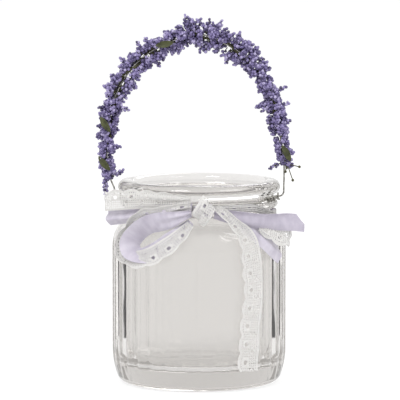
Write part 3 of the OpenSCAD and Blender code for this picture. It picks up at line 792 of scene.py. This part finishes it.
# Berries: radius, length for a width of 1, the share of a stalk that they cover, and the turn between two
BERRY_R, BERRY_LONG, BERRIED, NEXT_TURN = 0.74, 1.12, 0.62, 2.4
STALK_R, HANG_STALK_R, STALK_TAPER = 0.22, 0.3, 0.8
QUARTERS = (0, 1.571, 3.142, 4.712)
STALK_FACES = [(k, (k + 1) % 4, 4 + (k + 1) % 4, 4 + k) for k in range(4)] + [(3, 2, 1, 0), (4, 5, 6, 7)]
BERRY_FINISH, STALK_FINISH = 0, 1
# The least and the most: how far berries stand out and how big they are, as shares of their radius
BERRY_OUT, BERRY_SIZE, HANG_BERRY_SIZE = (0.85, 1.25), (0.82, 1.12), (0.8, 1.05)
# Clusters of florets round each length of wire: their number, florets and turn, and how far florets stray
CLUSTERS, CLUSTER_FLORETS, FLORET_BERRIES = 12, 5, (4, 5, 6)
CLUSTER_TURN, CLUSTER_STRAY, SPREAD_ROUND, SPREAD_ALONG = 137.5, 20, 26, 0.07
CLUSTER_LENGTH, FLORET_LENGTH, FLORET_LEAN = (0.78, 1.16), (0.85, 1.08), (-0.08, 0.12)
TUFT_BERRIES, TUFT_SIZE, TUFT_DEPTH = 9, 0.95, (-2.2, 0.5)
# Lengths whose florets part in front, so that the stem shows between them, and how far they turn aside
PARTED, FRONT, PARTED_TO = (9, 10, 11), -0.72, (48, 80)
# The hanging sprig: its berries, the way it hangs, and the shares of it where they start and that they cover
HANG_BERRIES, HANG_WAY, HANG_START, HANG_SPAN = 20, (0.08, 0, -1.0), 0.06, 0.9
# The inner florets: how far inside the wire they root, and the second spray's offset and size
INNER_ROOT, SECOND_OFFSET, SECOND_SIZE = 0.8, (0.8, -1.0, 0.9), 0.95


def berry_shape():
    """One foam berry of unit radius, a little longer along its wire."""
    berry = start_from(bpy.ops.mesh.primitive_uv_sphere_add, "berry",
                       segments=7, ring_count=5, radius=1, location=(0, 0, 0))
    bpy.ops.object.mode_set(mode="EDIT")
    bpy.ops.mesh.select_all(action="SELECT")
    bpy.ops.transform.resize(value=(1, 1, BERRY_LONG), center_override=(0, 0, 0))
    bpy.ops.object.mode_set(mode="OBJECT")
    points = np.array([v.co for v in berry.data.vertices])
    faces = [tuple(p.vertices) for p in berry.data.polygons]
    bpy.data.objects.remove(berry)
    return points, faces


BERRY_POINTS, BERRY_FACES = berry_shape()


def frame_of(way):
    """Two directions square to a way and to each other."""
    side = unit(np.cross(way, X if abs(way[0]) < 0.8 else Z))
    return side, np.cross(way, side)


class Bunch:
    """Collects berries and their stalks into one piece."""

    def __init__(self):
        self.points, self.faces, self.tints, self.finishes = [], [], [], []

    def add(self, points, faces, tint, finish):
        base = sum(len(p) for p in self.points)
        self.points.append(points)
        self.faces += [tuple(base + i for i in f) for f in faces]
        self.tints += [tint] * len(points)
        self.finishes += [finish] * len(faces)

    def berry(self, at, way, radius, tint):
        turn = np.stack([*frame_of(way), way], axis=1)
        self.add(BERRY_POINTS @ turn.T * radius + at, BERRY_FACES, tint, BERRY_FINISH)

    def stalk(self, start, stop, radius):
        side, over = frame_of(unit(stop - start))
        ring = [radius * (math.cos(a) * side + math.sin(a) * over) for a in QUARTERS]
        points = np.array([start + r for r in ring] + [stop + r * STALK_TAPER for r in ring])
        self.add(points, STALK_FACES, 0, STALK_FINISH)

    def spray(self, root, tip, rng, count, radius):
        """A floret: a stalk from root to tip with berries round its outer part."""
        way = unit(tip - root)
        side, over = frame_of(way)
        long = np.linalg.norm(tip - root)
        self.stalk(root, tip, STALK_R)
        spin = rng.uniform(0, math.tau)
        for k in range(count):
            share = 1 - BERRIED * k / max(count - 1, 1)
            spin += NEXT_TURN
            out = 0 if k == 0 else radius * rng.uniform(*BERRY_OUT)
            push = math.cos(spin) * side + math.sin(spin) * over
            at = root + way * long * share + push * out
            self.berry(at, unit(way + 0.8 * push), radius * rng.uniform(*BERRY_SIZE), rng.random())

    def finish(self, name, replaced=()):
        piece = new_piece(name, np.concatenate(self.points), self.faces)
        tint = piece.data.attributes.new("tint", "FLOAT", "POINT")
        tint.data.foreach_set("value", self.tints)
        wear(piece, BERRY, STEM)
        smooth(piece)
        piece.data.polygons.foreach_set("material_index", self.finishes)
        dress(piece, "bail", replaced)
        return piece


def nearest_place(x, z):
    """The place along the handle's wire that lies nearest to a point of the front view."""
    return min((k / 20 for k in range(20 * ARCH_END + 1)),
               key=lambda s: np.linalg.norm(spline_at(ARCH_POINTS, s) - (x, 0, z)))


# The tips, x and z, of the longest florets, which stand out of the garland's outline
TUFTS = [
    (-6.4, 168.4), (10.5, 165.8), (18.7, 160.4), (26.9, 153.6), (26, 126), (12, 146.4), (0.4, 151.4),
    (41, 128), (41.7, 120), (39.8, 135.4), (-43.5, 136), (-40.3, 141), (-36, 148.7), (-28.4, 156),
    (-24.7, 157.8), (-46.8, 112.5), (-46, 126), (-18, 145), (-9, 151.4), (-32, 125), (-36, 108), (-44, 98),
    (43.3, 105.6),
]
TUFT_PLACES = [nearest_place(x, z) for x, z in TUFTS]


def sprig(i):
    """Florets in clusters of uneven length round the wire, with dark hollows between them."""
    start, stop, outside, inside, depth = SPRIGS[i]
    next_start = SPRIGS[i + 1][0] if i + 1 < len(SPRIGS) else stop + 1
    rng = random.Random(100 + i)
    bunch = Bunch()
    for k in range(CLUSTERS):
        middle = CLUSTER_TURN * k + rng.uniform(-CLUSTER_STRAY, CLUSTER_STRAY)
        centre = start + (stop - start) * (k + 0.5) / CLUSTERS
        length = rng.uniform(*CLUSTER_LENGTH)
        for _ in range(CLUSTER_FLORETS):
            angle, place = middle + rng.gauss(0, SPREAD_ROUND), centre + rng.gauss(0, SPREAD_ALONG)
            c, s = math.cos(math.radians(angle)), math.sin(math.radians(angle))
            if i in PARTED and s < FRONT:
                angle = -90 + math.copysign(rng.uniform(*PARTED_TO), c)
                c, s = math.cos(math.radians(angle)), math.sin(math.radians(angle))
            side = outside if c > 0 else inside
            full = 1 / math.sqrt((c / side) ** 2 + (s / depth) ** 2)
            reach = max(CORE_R + 0.8, full * length * rng.uniform(*FLORET_LENGTH)) - BERRY_R / 2
            root = beside_arch(place, CORE_R / 2, middle)
            tip = beside_arch(place + rng.uniform(*FLORET_LEAN), reach, angle)
            bunch.spray(root, tip, rng, rng.choice(FLORET_BERRIES), BERRY_R)
    for (x, z), place in zip(TUFTS, TUFT_PLACES):
        if start <= place < next_start:
            tip = np.array([x, rng.uniform(*TUFT_DEPTH), z])
            bunch.spray(spline_at(ARCH_POINTS, place), tip, rng, TUFT_BERRIES, BERRY_R * TUFT_SIZE)
    bunch.finish(f"lavender_{i + 1}", [f"sprig_{i + 1}"])


def hanging_sprig():
    """The loose sprig that hangs from the garland's left end, fullest about its middle."""
    rng = random.Random(77)
    bunch = Bunch()
    top = beside_arch(SPRIGS[-1][1] + 0.06, CORE_R + 0.4, 0)
    way = np.array(HANG_WAY)
    bunch.stalk(top, top + way * HANG_L, HANG_STALK_R)
    for k in range(HANG_BERRIES):
        share = HANG_START + HANG_SPAN * k / (HANG_BERRIES - 1)
        spin = NEXT_TURN * k
        push = np.array([math.cos(spin), math.sin(spin), 0])
        out = 0.95 * math.sin(math.pi * (0.15 + 0.8 * share))
        at = top + way * HANG_L * share + push * out
        bunch.berry(at, unit(way + push), BERRY_R * rng.uniform(*HANG_BERRY_SIZE), rng.random())
    bunch.finish("lavender_hanging", ["hanging_sprig"])


def inner_floret(name, s, tip, counts, size, seed):
    """A loose spray beside a leg's foot."""
    rng = random.Random(seed)
    bunch = Bunch()
    root, tip = beside_arch(s, INNER_ROOT, 180), np.array(tip)
    flat_tip = tip * (1, 0, 1)
    bunch.spray(root, tip, rng, counts[0], BERRY_R * size)
    bunch.spray(root, flat_tip + SECOND_OFFSET, rng, counts[1], BERRY_R * size * SECOND_SIZE)
    piece = bunch.finish(name)
    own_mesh(piece)


# Leaf: its thickness, least half width and how it narrows, then its fold, arch and curl
LEAF_T, LEAF_MIN_HALF, LEAF_TAPER = 0.22, 0.05, 0.8
LEAF_FOLD, LEAF_ARCH, LEAF_CURL = 0.35, 0.5, 0.08


def leaf(i):
    """A leaf pressed from a flat grid: narrowed to both ends, folded along its rib and arched."""
    s, away, angle, turn = LEAVES[i]
    seat = beside_arch(s, away, angle)
    face = unit(seat - spline_at(ARCH_POINTS, s))
    tilt, bearing, roll = math.acos(face[2]), math.atan2(face[1], face[0]), math.radians(turn)
    piece = start_from(bpy.ops.mesh.primitive_grid_add, f"green_leaf_{i + 1}",
                       x_subdivisions=16, y_subdivisions=6, size=2, location=(0, 0, 0))
    for vertex in piece.data.vertices:
        a, b = vertex.co.x, vertex.co.y
        half = LEAF_W / 2 * (1 - a * a) ** LEAF_TAPER + LEAF_MIN_HALF
        z = LEAF_FOLD * abs(b) * (1 - a * a) - LEAF_ARCH * a * a + LEAF_CURL * math.sin(9 * a) * b
        x, y = turned(a * LEAF_L / 2, b * half, roll)
        x, z = turned(x, z, -tilt)
        x, y = turned(x, y, bearing)
        vertex.co = Vector(seat + np.array([x, y, z])) * MM
    thicken(piece, LEAF_T)
    smooth(piece, 50)
    wear(piece, LEAF)
    dress(piece, "bail", [f"leaf_{i + 1}"])


for index in range(len(SPRIGS)):
    sprig(index)
hanging_sprig()
inner_floret("lavender_inner_right", 0.97, (32.2, -0.6, 98.0), (6, 4), 0.85, 41)
inner_floret("lavender_inner_left", 13.35, (-35.6, -0.6, 96.6), (7, 5), 0.95, 43)
for index in range(len(LEAVES)):
    leaf(index)


# ---- floor, background and light ----

FLOOR_SIZE, FLOOR_Z = 30, -0.0002
# How much of the floor is plain white to the camera, and how bright; the light all round, and what it adds
FLOOR_SHARE, FLOOR_WHITE = 0.7, 1.13
SKY, SKY_ADDED = 0.8, 0.2
# Dark cards: how far off, how high, and for each the angle from the back and the width
CARD_AWAY, CARD_H = 0.15, 0.1
CARDS = [(50, 0.02), (66, 0.018)]
LAMP_AIM = (0, 0, 0.08)


def backdrop_light(tree, white):
    """White to the camera and in glass and metal, and 0 to every other ray."""
    path = tree.nodes.new("ShaderNodeLightPath")
    kinds = ("Camera", "Glossy", "Transmission")
    camera, glossy, through = (path.outputs[f"Is {kind} Ray"] for kind in kinds)
    seen = math_node(tree, "MAXIMUM", math_node(tree, "MAXIMUM", camera, glossy), through)
    return math_node(tree, "MULTIPLY", seen, white)


def floor():
    plane = start_from(bpy.ops.mesh.primitive_plane_add, "floor", size=FLOOR_SIZE, location=(0, 0, FLOOR_Z))
    finish = Finish("floor_paint", grey(0.9), Roughness=0.9, Specular_IOR_Level=0.0)
    white = finish.node("ShaderNodeEmission", Color=grey(1.0), Strength=FLOOR_WHITE)
    mix = finish.node("ShaderNodeMixShader")
    finish.link(backdrop_light(finish.tree, FLOOR_SHARE), mix.inputs["Fac"])
    finish.link(finish.shader.outputs["BSDF"], mix.inputs[1])
    finish.link(white.outputs["Emission"], mix.inputs[2])
    finish.link(mix.outputs["Shader"], finish.tree.nodes["Material Output"].inputs["Surface"])
    wear(plane, finish.material)


def side_card(side, angle, width):
    """A dark card behind and beside the jar, seen only in its glass, where it darkens the flutes' edges."""
    a = math.radians(angle)
    card = start_from(bpy.ops.mesh.primitive_plane_add, f"card_{'left' if side < 0 else 'right'}_{angle}",
                      size=1, location=(side * CARD_AWAY * math.sin(a), CARD_AWAY * math.cos(a), CARD_H / 2),
                      rotation=(math.pi / 2, 0, -side * a))
    card.scale = (width, CARD_H, 1)
    bpy.ops.object.transform_apply(location=False, rotation=False, scale=True)
    wear(card, DARK)
    card.visible_camera = False
    card.visible_diffuse = False
    card.visible_shadow = False


def world_light():
    world = bpy.context.scene.world or bpy.data.worlds.new("studio")
    bpy.context.scene.world = world
    world.use_nodes = True
    tree = world.node_tree
    background = tree.nodes["Background"]
    background.inputs["Color"].default_value = grey(1.0)
    total = math_node(tree, "ADD", backdrop_light(tree, SKY_ADDED), SKY)
    tree.links.new(total, background.inputs["Strength"])


def lamp(name, place, size, power):
    data = bpy.data.lights.new(name, "AREA")
    data.shape = "DISK"
    data.size = size
    data.energy = power
    light = bpy.data.objects.new(name, data)
    bpy.context.scene.collection.objects.link(light)
    light.location = place
    light.rotation_euler = (Vector(LAMP_AIM) - Vector(place)).to_track_quat("-Z", "Y").to_euler()


floor()
for side in (-1, 1):
    for angle, width in CARDS:
        side_card(side, angle, width)
world_light()
lamp("key", (-0.5, -0.9, 1.0), 0.6, 7)
lamp("fill", (0.7, -0.5, 0.8), 0.6, 3)
lamp("back", (0.3, 1.1, 0.8), 0.6, 3)

scene = bpy.context.scene
scene.view_settings.view_transform = "Standard"
